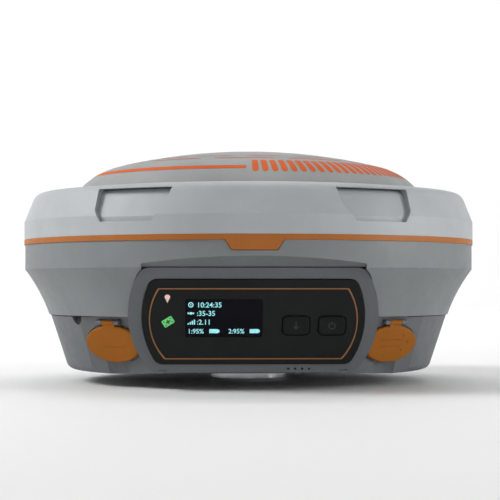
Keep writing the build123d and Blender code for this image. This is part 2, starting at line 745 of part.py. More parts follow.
def make_sockets():
    place = cover_place(-1, -WELL_DEPTH)
    shell = place * extrude(Circle(SERIAL_R), 1.2) + place * extrude(Circle(SERIAL_R - 0.75), -9)
    shell -= place * Pos(0, 0, 2) * extrude(Circle(SERIAL_R - 1.4), -9)
    keep("serial_socket", shell)
    core = place * Pos(0, 0, -3.2) * extrude(Circle(SERIAL_R - 1.5), -3.6)
    keep("serial_insert", core)
    contacts = [place * Rot(0, 0, 60 * i) * Pos(1.7, 0, -3.2) * extrude(Circle(0.3), 2.2) for i in range(6)]
    keep("serial_contacts", Compound(contacts))
    place = cover_place(1, -WELL_DEPTH)
    usb = Pos(-5.2, 0, 0) * rounded(9.0, 3.3, 1.5)
    inner = Pos(-5.2, 0, 0) * rounded(8.3, 2.6, 1.2)
    shell = place * Pos(0, 0, 0.6) * extrude(usb, -7.6) - place * Pos(0, 0, 1.6) * extrude(inner, -7.4)
    tongue = place * Pos(-5.2, 0, -5.8) * Box(6.6, 0.7, 5.0, align=(Align.CENTER, Align.CENTER, Align.MIN))
    keep("usb_socket", shell + tongue)
    tray = Pos(5.6, 0, 0) * rounded(8.6, 2.2, 0.3)
    keep("sim_tray", place * Pos(0, 0, 0.3) * extrude(tray, -8.0))


# ---- Battery bay ----

def rear_box(x, y, z):
    """Box placed from the battery bay's middle height."""
    return block(x, y, (Z_BATTERY + z[0], Z_BATTERY + z[1]))


def door_panel(grow=0.0):
    return rounded(DOOR_W + 2 * grow, DOOR_H + 2 * grow, DOOR_ROUND + grow)


def knob_place(y):
    return Plane(origin=(KNOB_INSET - DOOR_W / 2, y, Z_BATTERY), x_dir=(-1, 0, 0), z_dir=(0, 1, 0))


def upright(radius, low, high, x=0.0, y=0.0):
    return Pos(x, y, low) * extrude(Circle(radius), high - low)


def make_rear_frame():
    """Surround of the battery door, with a seal land and hinge ears."""
    body = rear_plane(REAR_Y - REAR_SKIRT) * extrude(rear_outline(), REAR_SKIRT)
    hollow = extrude(rear_outline(REAR_BORDER), REAR_SKIRT - REAR_DEPTH + 1)
    body -= rear_plane(REAR_Y - REAR_SKIRT - 1) * hollow
    body -= rear_plane(LAND_Y) * extrude(door_panel(DOOR_GAP), BELOW)
    body -= rear_plane(REAR_Y - BELOW) * extrude(door_panel(-DOOR_MARGIN), 2 * BELOW)
    for low, high in hinge_spans()[1:]:
        ear = upright(DOOR_BARREL_R, low, high, HINGE_X, HINGE_Y)
        foot = block((HINGE_X + 0.3, HINGE_X + DOOR_BARREL_R), (REAR_Y - 1, HINGE_Y), (low, high))
        body += ear + foot
    return body - upright(DOOR_PIN_R + PIN_CLEAR, Z_BATTERY - DOOR_H, Z_BATTERY + DOOR_H, HINGE_X, HINGE_Y)


def hinge_spans():
    """Heights of the door's knuckle and of the frame's two ears."""
    middle = DOOR_H * 0.16
    outer = DOOR_H * 0.34
    gap = 0.2
    z = Z_BATTERY
    return [(z - middle, z + middle), (z + middle + gap, z + outer), (z - outer, z - middle - gap)]


def make_battery_door():
    plate = rear_plane(REAR_Y - DOOR_T) * extrude(door_panel(), DOOR_T)
    outer = plate.faces().sort_by(Axis.Y)[-1]
    plate = fillet(outer.edges(), 0.6)
    low, high = hinge_spans()[0]
    leaf = block((HINGE_X - 7.0, HINGE_X), (REAR_Y - 0.5, REAR_Y + 1.4), (low, high))
    leaf += block((HINGE_X - 1.2, HINGE_X), (REAR_Y, HINGE_Y), (low, high))
    body = plate + leaf + upright(DOOR_BARREL_R, low, high, HINGE_X, HINGE_Y)
    body -= upright(DOOR_PIN_R + PIN_CLEAR, low - 1, high + 1, HINGE_X, HINGE_Y)
    body -= knob_place(REAR_Y - DOOR_T - 1) * extrude(Circle(SHAFT_R + PIN_CLEAR), DOOR_T + 2)
    for i in range(-2, 3):
        body -= rear_box((i * 6 - 0.6, i * 6 + 0.6), (REAR_Y - 0.5, REAR_Y + 1), (-6, 6))
    return body


def make_latch():
    """Thumb-turn: a knob with a grip bar outside, a tongue inside."""
    knob = knob_place(REAR_Y + 0.3) * extrude(Circle(KNOB_R), 1.4)
    grip = knob_place(REAR_Y + 1.5) * extrude(rounded(2.6, 2 * KNOB_R - 2, 1.2), KNOB_T)
    shaft = knob_place(TONGUE_Y - TONGUE_T) * extrude(Circle(SHAFT_R), REAR_Y + 1 - TONGUE_Y + TONGUE_T)
    reach = TONGUE_L + TONGUE_W / 2
    slab = Pos(0, TONGUE_L - reach / 2, 0) * rounded(TONGUE_W, reach, 1.0)
    return knob + grip + shaft + knob_place(TONGUE_Y - TONGUE_T) * extrude(slab, TONGUE_T)


def make_battery(side):
    x = side * BATTERY_X
    body = rear_box((x - BATTERY_W / 2, x + BATTERY_W / 2), (BATTERY_END - BATTERY_L, BATTERY_END),
                    (-BATTERY_T / 2, BATTERY_T / 2))
    body = fillet(body.edges().filter_by(Axis.Y), 2.5)
    return body - rear_box((x - 8, x + 8), (BATTERY_END - 0.8, BATTERY_END + 1), (-2.5, 2.5))


def make_cradle():
    """Open-ended box with a rib between the two batteries and four ears."""
    half = CRADLE_X
    tall = BATTERY_T / 2 + BATTERY_CLEAR
    front = BATTERY_END - BATTERY_L - 1.2
    reach = tall + CRADLE_WALL
    body = rear_box((-half, half), (front - CRADLE_WALL, BATTERY_END + 0.3), (-reach, reach))
    body = fillet(body.edges().filter_by(Axis.Y), DOOR_ROUND)
    for side in (-1, 1):
        x = side * BATTERY_X
        w = BATTERY_W / 2 + BATTERY_CLEAR
        body -= rear_box((x - w, x + w), (front, BATTERY_END + 1), (-tall, tall))
        body -= rear_box((x - 10, x + 10), (front + 12, BATTERY_END - 12), (tall - 1, reach + 1))
        for y in cradle_ear_rows():
            ear = Box(12, 8, CRADLE_WALL, align=(Align.CENTER, Align.CENTER, Align.MIN))
            body += Pos(side * (half + 1), y, CRADLE_Z) * ear
    for x, y in cradle_ears():
        body -= upright(SCREW_R + 0.1, CRADLE_Z - 1, CRADLE_Z + 3, x, y)
    for carrier in contact_blocks(0.1):
        body -= carrier
    return body


def cradle_ear_rows():
    return (BATTERY_END - BATTERY_L + 8, BATTERY_END - 26)


def cradle_ears():
    return [(x, y) for x in (-CRADLE_X - 3.5, CRADLE_X + 3.5) for y in cradle_ear_rows()]


def cradle_posts():
    posts = []
    for x, y in cradle_ears():
        bore = upright(SCREW_R - 0.2, CRADLE_Z - 8, CRADLE_Z + 1, x, y)
        posts.append(upright(3.2, Z_BASE + 1, CRADLE_Z, x, y) - bore)
    return posts


def make_cradle_screws():
    one = screw(SCREW_R - 0.25, 8.0, SCREW_HEAD_R, SCREW_HEAD_T)
    return Compound([Pos(x, y, CRADLE_Z + CRADLE_WALL) * one for x, y in cradle_ears()])


def contact_blocks(grow=0.0):
    """Contact carrier in the closed end of each bay."""
    y = BATTERY_END - BATTERY_L
    shapes = []
    for side in (-1, 1):
        x = side * BATTERY_X
        half = 9 + grow
        shapes.append(rear_box((x - half, x + half), (y - 4.5, y - 0.9 + grow), (-4 - grow, 4 + grow)))
    return shapes


def make_contacts():
    y = BATTERY_END - BATTERY_L
    blades = []
    for side in (-1, 1):
        for i in range(4):
            x = side * BATTERY_X - 6 + 4 * i
            blades.append(rear_box((x - 0.8, x + 0.8), (y - 0.9, y - 0.1), (-2.5, 2.5)))
    keep("contact_blocks", Compound(contact_blocks()))
    keep("battery_contacts", Compound(blades))


def make_door_seal():
    seal = rear_plane(LAND_Y) * extrude(door_panel(-0.3), DOOR_SEAL_T)
    return seal - rear_plane(LAND_Y - 1) * extrude(door_panel(-DOOR_MARGIN + 0.2), DOOR_SEAL_T + 2)


# ---- Pole boss, boards and antenna ----

def boss_screw_places(height):
    r = (BOSS_R + BOSS_FLANGE_R) / 2
    return [Pos(*polar(r, a, height)) for a in (45, 135, 225, 315)]


def make_pole_boss():
    top = THREAD_L + 2.0
    floor = Z_BASE + BASE_FLOOR
    body = disc(BOSS_R, 0, floor + 1) + disc(BOSS_FLANGE_R, floor, floor + BOSS_FLANGE_T)
    body += disc(THREAD_R + 4, 0, top)
    low = [e for e in body.edges().filter_by(GeomType.CIRCLE) if abs(e.center().Z) < 0.01]
    body = chamfer(low, BOSS_CHAMFER)
    body -= disc(THREAD_R, -1, THREAD_L)
    low = [e for e in body.edges().filter_by(GeomType.CIRCLE) if abs(e.center().Z) < 0.01]
    mouth = [e for e in low if e.radius < THREAD_R + 1]
    body = chamfer(mouth, 0.8)
    for place in boss_screw_places(Z_BASE):
        body -= place * extrude(Circle(SCREW_R + 0.1), 12)
    return body


def make_boss_screws():
    seat = Z_BASE + BASE_FLOOR + BOSS_FLANGE_T
    one = screw(SCREW_R * 0.8 - 0.1, BASE_FLOOR + BOSS_FLANGE_T - 1.0, SCREW_HEAD_R * 0.9, SCREW_HEAD_T)
    return Compound([place * one for place in boss_screw_places(seat)])


def make_base_screws():
    head_seat = Z_BASE + SCREW_HEAD_T + 0.4
    one = Rot(180, 0, 0) * screw(SCREW_R - 0.1, Z_SEAM + 6 - head_seat, SCREW_HEAD_R, SCREW_HEAD_T)
    places = [Pos(*polar(BODY_R - COLUMN_INSET, a, head_seat)) for a in COLUMN_AZIMUTHS]
    return Compound([place * one for place in places])


def board_post_places(height):
    return [Pos(x, y, height) for x in (-34, 34) for y in (-34, 34)]


def board_posts():
    posts = []
    for place in board_post_places(Z_BASE + 1):
        bore = Pos(0, 0, MAIN_Z - 8) * extrude(Circle(1.1), 8)
        posts.append(place * (extrude(Circle(2.8), MAIN_Z - 1) - bore))
    return posts


def make_main_board():
    board = disc(MAIN_R, Z_MAIN, Z_MAIN + BOARD_T)
    board -= block((-MAIN_R, MAIN_R), (-MAIN_R - 1, -MAIN_R + 10), (Z_MAIN - 1, Z_MAIN + 4))
    for x, y in cradle_ears():
        board -= upright(3.8, Z_MAIN - 1, Z_MAIN + 4, x, y)
    for place in board_post_places(Z_MAIN - 1):
        board -= place * extrude(Circle(1.3), 4)
    return board


def make_modules():
    top = Z_MAIN + BOARD_T
    sizes = {
        "gnss_module": ((-23, 23), (-2, 29), 4.0),
        "radio_module": ((-20, 16), (34, 52), 3.4),
        "modem_module": ((-24, 6), (-30, -10), 2.6),
        "wireless_module": ((12, 26), (-30, -14), 2.2),
    }
    for name, (x, y, height) in sizes.items():
        can = block(x, y, (top, top + height))
        can = fillet(can.edges().filter_by(Axis.Z), 1.0)
        hollow = block((x[0] + 1, x[1] - 1), (y[0] + 1, y[1] - 1), (top - 1, top + height - 0.5))
        keep(name, can - hollow)
    keep("board_screws", Compound([
        place * screw(1.1, 5.0, 2.2, 1.4) for place in board_post_places(top)]))


def plate_screw_places(height):
    return [Pos(*polar((LEDGE_R + PLATE_R) / 2, 30 + 60 * i, height)) for i in range(6)]


def make_antenna():
    top = Z_LEDGE + PLATE_T
    plate = disc(PLATE_R, Z_LEDGE, top)
    for place in plate_screw_places(Z_LEDGE - 1):
        plate -= place * extrude(Circle(SCREW_R * 0.8), PLATE_T + 2)
    feeds = [Pos(*polar(16, 45 + 90 * i)) for i in range(4)]
    middle = top + PATCH_LOWER_T
    high = middle + PATCH_UPPER_T
    lower = disc(PATCH_LOWER_R, top, middle)
    upper = disc(PATCH_UPPER_R, middle, high)
    board_z = Z_LEDGE - 1.2
    board = Pos(0, 0, board_z) * extrude(rounded(58, 58, 4), 1.2)
    for feed in feeds:
        plate -= feed * disc(1.4, Z_LEDGE - 1, top + 1)
        hole = feed * disc(0.7, board_z - 1, high + 1)
        lower -= hole
        upper -= hole
        board -= hole
    can = Pos(0, 0, board_z - 5) * extrude(rounded(52, 52, 3), 5)
    can -= Pos(0, 0, board_z - 4.4) * extrude(rounded(50.6, 50.6, 2.4), 5)
    keep("antenna_plate", plate)
    keep("lower_patch", lower)
    keep("upper_patch", upper)
    keep("feed_pins", Compound([feed * disc(0.6, board_z, high + 0.4) for feed in feeds]))
    keep("amplifier_board", board)
    keep("amplifier_shield", can)
    one = screw(SCREW_R * 0.8 - 0.1, LEDGE_T + PLATE_T - 0.6, 2.4, 1.4)
    keep("plate_screws", Compound([place * one for place in plate_screw_places(top)]))


def make_coax():
    """Antenna lead, held between its two plugs."""
    start = Z_LEDGE - 1.2 - 5.0 - 4.0
    end = Z_MAIN + BOARD_T + 4.0
    points = [
        (*COAX_TOP, start), (*COAX_TOP, start - 9),
        (COAX_LOW[0], COAX_LOW[1], start - 22), (*COAX_LOW, end),
    ]
    path = FilletPolyline(*points, radius=8.0)
    lead = sweep(Plane(origin=points[0], z_dir=(0, 0, -1)) * Circle(COAX_R), path=path)
    keep("antenna_lead", lead)
    plug = extrude(Circle(2.0), 4.0)
    keep("lead_plugs", Compound([Pos(*COAX_TOP, start) * plug, Pos(*COAX_LOW, end - 4.0) * plug]))


def make_seals():
    spigot = BODY_R - UPPER_WALL - FIT_GAP
    keep("shell_seal", ring(spigot - SPIGOT_T, spigot, Z_BAND_TOP + SPIGOT_UP, seal_top()))
    keep("dome_seal", ring(DOME_R, DOME_R + DOME_SEAL_T, Z_LEDGE, Z_RIM))
    inner = base_spigot_r()
    keep("base_seal", ring(inner, BODY_R - SEAM_INSET - BASE_STEP, Z_SEAM, Z_SEAM + SEAM_GAP)
         - bezel_cutter() - bay_shadow(-1) - bay_shadow(1))


def bay_shadow(side):
    """Keeps the base seal behind the port flats."""
    return bay_cutter(side)[0]


def make_base():
    body = make_base_housing()
    for side in (-1, 1):
        for ear in cover_lugs(side):
            body += ear
        body -= barrel(cover_axis(side), HINGE_PIN_R + PIN_CLEAR, pin_length())
    return body


def build_all():
    keep("dome_cover", make_dome_cover())
    keep("upper_shell", make_upper_shell())
    keep("trim_band", make_trim_band())
    keep("lower_shell", make_lower_shell())
    keep("base_housing", make_base())
    make_seals()
    keep("front_bezel", make_front_bezel())
    keep("front_panel", make_front_panel())
    keep("panel_inlay", make_panel_inlay())
    make_display()
    make_lenses()
    keep("function_button", make_button(BUTTON_AT[0]))
    keep("power_button", make_button(BUTTON_AT[1]))
    keep("button_switches", make_switches())
    keep("front_board", make_front_board())
    keep("front_board_screws", make_board_screws())
    keep("port_cover_left", make_port_cover(-1))
    keep("port_cover_right", make_port_cover(1))
    keep("cover_hinge_pins", make_cover_pins())
    make_sockets()
    keep("breather_vent", make_breather_vent())
    keep("battery_a", make_battery(-1))
    keep("battery_b", make_battery(1))
    keep("battery_cradle", make_cradle())
    keep("cradle_screws", make_cradle_screws())
    make_contacts()
    keep("rear_frame", make_rear_frame())
    keep("battery_door", make_battery_door())
    keep("door_seal", make_door_seal())
    keep("door_hinge_pin", upright(DOOR_PIN_R, hinge_spans()[2][0], hinge_spans()[1][1], HINGE_X, HINGE_Y))
    keep("door_latch", make_latch())
    keep("pole_boss", make_pole_boss())
    keep("boss_screws", make_boss_screws())
    keep("base_screws", make_base_screws())
    keep("main_board", make_main_board())
    make_modules()
    keep("buzzer", upright(4.8, Z_BASE + BASE_FLOOR, Z_BASE + BASE_FLOOR + 4, 17, -46))
    make_antenna()
    make_coax()


build_all()
os.makedirs("parts", exist_ok=True)
for name, shape in PARTS.items():
    export_step(shape, f"parts/{name}.step")
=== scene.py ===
import json
import math
from collections import namedtuple

import bpy
from mathutils import Matrix, Vector


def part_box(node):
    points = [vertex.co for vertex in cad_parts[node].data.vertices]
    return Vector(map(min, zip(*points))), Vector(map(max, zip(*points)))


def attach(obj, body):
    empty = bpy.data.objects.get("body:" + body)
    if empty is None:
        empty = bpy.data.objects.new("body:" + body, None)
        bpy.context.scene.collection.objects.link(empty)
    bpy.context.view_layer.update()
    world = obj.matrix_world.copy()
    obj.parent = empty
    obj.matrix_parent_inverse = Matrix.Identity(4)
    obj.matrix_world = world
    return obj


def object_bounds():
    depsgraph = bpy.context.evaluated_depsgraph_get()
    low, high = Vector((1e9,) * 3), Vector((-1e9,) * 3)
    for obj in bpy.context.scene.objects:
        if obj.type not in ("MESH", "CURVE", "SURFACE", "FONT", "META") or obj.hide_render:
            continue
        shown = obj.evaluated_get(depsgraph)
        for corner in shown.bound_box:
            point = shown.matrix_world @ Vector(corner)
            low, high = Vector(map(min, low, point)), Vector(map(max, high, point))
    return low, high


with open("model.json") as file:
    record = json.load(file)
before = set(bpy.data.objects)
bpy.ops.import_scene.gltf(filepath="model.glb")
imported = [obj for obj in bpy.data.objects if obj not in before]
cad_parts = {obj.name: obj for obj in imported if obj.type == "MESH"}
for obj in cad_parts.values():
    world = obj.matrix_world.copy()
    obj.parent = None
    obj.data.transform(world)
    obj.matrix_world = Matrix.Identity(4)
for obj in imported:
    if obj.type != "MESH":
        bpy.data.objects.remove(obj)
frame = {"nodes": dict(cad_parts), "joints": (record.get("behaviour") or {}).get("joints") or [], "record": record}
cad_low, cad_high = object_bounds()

MM = 0.001
BODY = "receiver"
RECORD = frame["record"]
SLOT_OF = {row["node"]: row["material_slot"] for row in RECORD["subparts"]}
MATERIALS = {}

# A spot on a flat front: its middle, the directions across, up and out of it, and its width in metres.
Place = namedtuple("Place", "middle across up out wide")

# The Mix node's colour sockets, by their index.
MIX_FIRST, MIX_SECOND, MIX_RESULT = 6, 7, 2

# Marks, in millimetres.
MARK_LIFT = 0.02
MARK_THICK = 0.02
TEXT_LIFT = 0.03
TEXT_HALF_THICK = 0.01
TEXT_BOLD = 0.03
DOME_MARK_LIFT = 0.09
# Blender's text size over the height of its digits.
TEXT_SIZE_SHARE = 1.38

# The display's rows, in millimetres from its middle.
TIME_Y, COUNTS_Y, QUALITY_Y, CHARGE_Y = 4.2, 1.0, -2.3, -5.7
DISPLAY_EDGE = 0.8
DIGIT_X = 3.4
DIGIT_H = 1.95
CHARGE_H = 1.8
CHARGE_B_X = 15.0
CHARGE_ICON_A_X = 8.0
CHARGE_ICON_B_X = 22.9
CHARGE_ICON_Y = 0.1

# The dome's marks: angles in degrees from the front towards +X, radii in millimetres.
LINE_START, LINE_END, LINE_INNER, LINE_OUTER = -178.0, -2.2, 63.2, 65.3
BAR_COUNT, BAR_START, BAR_PITCH = 54, 0.9, 3.25
BAR_INNER, BAR_OUTER, BAR_W = 57.6, 66.9, 2.3
OUTER_DASH_STARTS, OUTER_DASH_TURN = range(-176, 176, 32), 26
OUTER_DASH_INNER, OUTER_DASH_OUTER = 52.0, 53.2
INNER_DASH_STARTS, INNER_DASH_TURN = range(-170, 176, 24), 17
INNER_DASH_INNER, INNER_DASH_OUTER = 45.8, 46.9
# The longest step of a mark around the dome, in degrees, and along its radius, in millimetres.
DOME_STEP_TURN = 1.5
DOME_STEP_RADIUS = 2.0
BAR_END_CUTS = 4

# The camera, at the photo's angle.
CAMERA_LENS = 108.5
CAMERA_DISTANCE = 0.632
CAMERA_HEIGHT = 0.039
CAMERA_AZIMUTH = -1.4
CAMERA_PITCH = 1.37
CAMERA_YAW = -0.057


# ---- Shader nodes ----

def new_material(name):
    material = bpy.data.materials.new(name)
    material.use_nodes = True
    tree = material.node_tree
    return material, tree, tree.nodes["Principled BSDF"]


def node(tree, kind, **values):
    made = tree.nodes.new(kind)
    for key, value in values.items():
        setattr(made, key, value)
    return made


def own_place(tree):
    """A point's place in its own object, in metres, which is its place at rest."""
    return node(tree, "ShaderNodeTexCoord").outputs["Object"]


def noise(tree, place, scale, detail=4.0, roughness=0.55):
    made = node(tree, "ShaderNodeTexNoise")
    made.inputs["Scale"].default_value = scale
    made.inputs["Detail"].default_value = detail
    made.inputs["Roughness"].default_value = roughness
    tree.links.new(place, made.inputs["Vector"])
    return made.outputs["Fac"]


def spread(tree, value, low, high, start=0.35, end=0.65):
    """The value's range from start to end, stretched to run from low to high and held there."""
    made = node(tree, "ShaderNodeMapRange")
    made.inputs["From Min"].default_value = start
    made.inputs["From Max"].default_value = end
    made.inputs["To Min"].default_value = low
    made.inputs["To Max"].default_value = high
    tree.links.new(value, made.inputs["Value"])
    return made.outputs["Result"]


def mixed(tree, share, first, second):
    """A colour between two colours or colour sockets."""
    made = node(tree, "ShaderNodeMix", data_type="RGBA")
    tree.links.new(share, made.inputs["Factor"])
    for index, colour in ((MIX_FIRST, first), (MIX_SECOND, second)):
        if isinstance(colour, tuple):
            made.inputs[index].default_value = (*colour, 1)
        else:
            tree.links.new(colour, made.inputs[index])
    return made.outputs[MIX_RESULT]


def product(tree, first, second):
    """A socket times a socket or a number."""
    made = node(tree, "ShaderNodeMath", operation="MULTIPLY")
    tree.links.new(first, made.inputs[0])
    if isinstance(second, float):
        made.inputs[1].default_value = second
    else:
        tree.links.new(second, made.inputs[1])
    return made.outputs[0]


def edge_share(tree, rounded):
    """1 on an edge that the bevel shader rounds, 0 on open faces."""
    flat = node(tree, "ShaderNodeNewGeometry").outputs["Normal"]
    dot = node(tree, "ShaderNodeVectorMath", operation="DOT_PRODUCT")
    tree.links.new(rounded, dot.inputs[0])
    tree.links.new(flat, dot.inputs[1])
    edge_dot, face_dot = 0.86, 0.995
    return spread(tree, dot.outputs["Value"], 1.0, 0.0, edge_dot, face_dot)


def finish_material(name, colour, rough, metal=0.0, grain=2200.0, bump=0.1, edge=0.0,
                    round_mm=0.3, stretch=(1, 1, 1), specular=0.5):
    """A moulded, cast or machined surface: grain, blotchy sheen and worn edges."""
    mottle = 0.06
    grain_depth_mm = 0.2
    broad_scale, smear_scale = 38.0, 210.0
    grain_tint = 0.12
    material, tree, shader = new_material(name)
    where = own_place(tree)
    scaled = node(tree, "ShaderNodeMapping")
    scaled.inputs["Scale"].default_value = stretch
    tree.links.new(where, scaled.inputs["Vector"])
    fine = noise(tree, scaled.outputs["Vector"], grain, 3.0, 0.6)
    broad = noise(tree, where, broad_scale, 5.0, 0.6)
    smear = noise(tree, scaled.outputs["Vector"], smear_scale, 4.0, 0.7)
    rounded = node(tree, "ShaderNodeBevel", samples=4)
    rounded.inputs["Radius"].default_value = round_mm * MM
    bumped = node(tree, "ShaderNodeBump")
    bumped.inputs["Strength"].default_value = bump
    bumped.inputs["Distance"].default_value = grain_depth_mm * MM
    tree.links.new(fine, bumped.inputs["Height"])
    tree.links.new(rounded.outputs["Normal"], bumped.inputs["Normal"])
    tree.links.new(bumped.outputs["Normal"], shader.inputs["Normal"])
    dark = tuple(c * (1 - mottle) for c in colour)
    light = tuple(min(1.0, c * (1 + mottle)) for c in colour)
    base = mixed(tree, spread(tree, broad, 0.0, 1.0), dark, light)
    base = mixed(tree, spread(tree, fine, 0.0, grain_tint), base, light)
    if edge:
        worn = tuple(min(1.0, c * 1.35 + 0.02) for c in colour)
        patchy = spread(tree, smear, 0.2, 1.0)
        share = product(tree, edge_share(tree, rounded.outputs["Normal"]), patchy)
        base = mixed(tree, product(tree, share, float(edge)), base, worn)
    tree.links.new(base, shader.inputs["Base Color"])
    sheen = spread(tree, smear, rough * 0.9, min(1.0, rough * 1.12))
    tree.links.new(sheen, shader.inputs["Roughness"])
    shader.inputs["Metallic"].default_value = metal
    shader.inputs["Specular IOR Level"].default_value = specular
    MATERIALS[name] = material


def glow_material(name, colour, strength):
    """A lit lens or pixel, a little uneven like real diodes."""
    material, tree, shader = new_material(name)
    share = spread(tree, noise(tree, own_place(tree), 900.0), 0.88, 1.12)
    tint = mixed(tree, share, tuple(c * 0.9 for c in colour), colour)
    tree.links.new(tint, shader.inputs["Emission Color"])
    tree.links.new(product(tree, share, float(strength)), shader.inputs["Emission Strength"])
    shader.inputs["Base Color"].default_value = (0.02, 0.02, 0.02, 1)
    shader.inputs["Roughness"].default_value = 0.3
    MATERIALS[name] = material


def make_shell_materials():
    finish_material("dome_grey", (0.33, 0.34, 0.34), 0.62, bump=0.10, edge=0.2, specular=0.18)
    finish_material("shell_grey", (0.40, 0.425, 0.435), 0.55, bump=0.14, edge=0.3)
    finish_material("lower_grey", (0.195, 0.209, 0.214), 0.55, bump=0.16, edge=0.35)
    finish_material("base_grey", (0.12, 0.131, 0.137), 0.55, bump=0.2, edge=0.4)
    finish_material("trim_orange", (0.40, 0.125, 0.016), 0.5, bump=0.1, edge=0.3, specular=0.3)
    finish_material("seal_orange", (0.46, 0.20, 0.12), 0.6, bump=0.1)
    finish_material("seal_black", (0.012, 0.012, 0.012), 0.7)
    finish_material("cover_orange", (0.32, 0.105, 0.009), 0.62, bump=0.25, grain=2600.0, edge=0.35,
                    specular=0.15)
    finish_material("latch_orange", (0.36, 0.13, 0.018), 0.45, bump=0.12, edge=0.4)


def make_panel_materials():
    finish_material("panel_black", (0.0125, 0.0135, 0.0135), 0.5, bump=0.06, edge=0.5, specular=0.12)
    finish_material("inlay_orange", (0.34, 0.135, 0.03), 0.45, bump=0.05, round_mm=0.05)
    finish_material("display_glass", (0.0009, 0.0006, 0.0045), 0.1, grain=300.0, bump=0.01,
                    round_mm=0.05, specular=0.1)
    finish_material("module_black", (0.01, 0.01, 0.02), 0.3)
    finish_material("key_rubber", (0.0125, 0.0135, 0.0135), 0.72, bump=0.28, grain=3200.0, edge=0.5,
                    specular=0.12)
    glow_material("lens_white", (1.0, 0.68, 0.58), 0.72)
    glow_material("lens_green", (0.12, 0.72, 0.18), 0.75)


def make_metal_materials():
    finish_material("pin_steel", (0.55, 0.55, 0.56), 0.28, metal=1.0, stretch=(1, 1, 8), grain=1500.0)
    finish_material("screw_steel", (0.42, 0.42, 0.43), 0.32, metal=1.0, grain=1500.0)
    finish_material("boss_chrome", (0.8, 0.81, 0.83), 0.16, metal=1.0, stretch=(1, 1, 14), grain=900.0,
                    bump=0.03)
    finish_material("contact_gold", (0.75, 0.52, 0.2), 0.25, metal=1.0, grain=1500.0)
    finish_material("shield_tin", (0.55, 0.55, 0.55), 0.35, metal=1.0, grain=1200.0)
    finish_material("socket_metal", (0.5, 0.5, 0.52), 0.3, metal=1.0, grain=1200.0)
    finish_material("plate_aluminium", (0.65, 0.65, 0.67), 0.35, metal=1.0, grain=1200.0)


def make_inside_materials():
    finish_material("battery_black", (0.02, 0.02, 0.022), 0.5, bump=0.25, edge=0.3)
    finish_material("frame_black", (0.026, 0.026, 0.027), 0.5, bump=0.2, edge=0.3)
    finish_material("board_green", (0.012, 0.09, 0.035), 0.4, bump=0.2)
    finish_material("patch_ceramic", (0.6, 0.55, 0.44), 0.55, bump=0.3)


def make_mark_materials():
    finish_material("art_orange", (0.62, 0.105, 0.009), 0.6, bump=0.1, round_mm=0.05, specular=0.15)
    finish_material("art_pink", (0.52, 0.20, 0.12), 0.6, bump=0.1, round_mm=0.05, specular=0.15)
    finish_material("key_mark", (0.035, 0.036, 0.038), 0.6, bump=0.05, round_mm=0.03)
    glow_material("lens_dark", (0.0, 0.02, 0.0), 0.1)
    glow_material("pixel_cyan", (0.32, 0.86, 0.9), 0.95)


def dress_nodes():
    """Give every CAD node the material that its record slot names."""
    for name, part in frame["nodes"].items():
        material = MATERIALS[SLOT_OF[name]]
        if not part.data.materials:
            part.data.materials.append(material)
        for i in range(len(part.data.materials)):
            part.data.materials[i] = material


# ---- Mesh pieces ----

def add_piece(name, data, material, body=BODY):
    data.materials.clear()
    data.materials.append(MATERIALS[material])
    made = bpy.data.objects.new(name, data)
    bpy.context.scene.collection.objects.link(made)
    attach(made, body)


def add_mesh(name, points, faces, material, body=BODY):
    data = bpy.data.meshes.new(name)
    data.from_pydata([tuple(p) for p in points], [], faces)
    data.update()
    add_piece(name, data, material, body)


def panel_place(name):
    """The middle of a leaning panel piece's front; the panel leans as the keys travel."""
    inward = Vector(next(j["axis"] for j in frame["joints"] if j["name"] == "power_button_press"))
    low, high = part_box(name)
    size = high - low
    lean = inward.y ** 2 - inward.z ** 2
    deep = (inward.y * size.y - inward.z * size.z) / lean
    across = Vector((1, 0, 0))
    up = Vector((0, -inward.z, inward.y))
    middle = (low + high) / 2 - inward * deep / 2
    return Place(middle, across, up, -inward, size.x)


def at_spot(place, x, y, height):
    """A point of a flat front, from millimetres across, up and out of it."""
    return place.middle + (place.across * x + place.up * y + place.out * height) * MM


def flat_piece(name, outlines, place, material, body=BODY):
    """Thin flat marks from outlines in millimetres, on a flat front."""
    points, faces = [], []
    for outline in outlines:
        start = len(points)
        count = len(outline)
        for height in (MARK_LIFT + MARK_THICK, MARK_LIFT):
            points += [at_spot(place, x, y, height) for x, y in outline]
        faces.append([start + i for i in range(count)])
        faces.append([start + count + i for i in reversed(range(count))])
        for i in range(count):
            j = (i + 1) % count
            faces.append([start + j, start + i, start + count + i, start + count + j])
    add_mesh(name, points, faces, material, body)


def box_outline(x, y, wide, tall):
    return [(x, y), (x + wide, y), (x + wide, y + tall), (x, y + tall)]


def arc_outlines(x, y, inner, outer, start, end, steps=16):
    """A ring segment as short four-sided tiles; angles in degrees, counterclockwise from +x."""
    tiles = []
    for i in range(steps):
        a = math.radians(start + (end - start) * i / steps)
        b = math.radians(start + (end - start) * (i + 1) / steps)
        corners = ((inner, a), (outer, a), (outer, b), (inner, b))
        tiles.append([(x + r * math.cos(t), y + r * math.sin(t)) for r, t in corners])
    return tiles


def text_piece(name, words, x, y, height, place):
    """Digits in Blender's own font, as a mesh, on a flat front."""
    curve = bpy.data.curves.new(name, "FONT")
    curve.body = words
    curve.size = height * MM * TEXT_SIZE_SHARE
    curve.extrude = TEXT_HALF_THICK * MM
    curve.offset = TEXT_BOLD * MM
    curve.resolution_u = 4
    holder = bpy.data.objects.new(name + "_form", curve)
    bpy.context.scene.collection.objects.link(holder)
    bpy.context.view_layer.update()
    data = bpy.data.meshes.new_from_object(holder)
    bpy.data.objects.remove(holder)
    turn = Matrix((place.across, place.up, place.out)).transposed().to_4x4()
    data.transform(Matrix.Translation(at_spot(place, x, y, TEXT_LIFT)) @ turn)
    data.name = name
    add_piece(name, data, "pixel_cyan")


# ---- The display ----

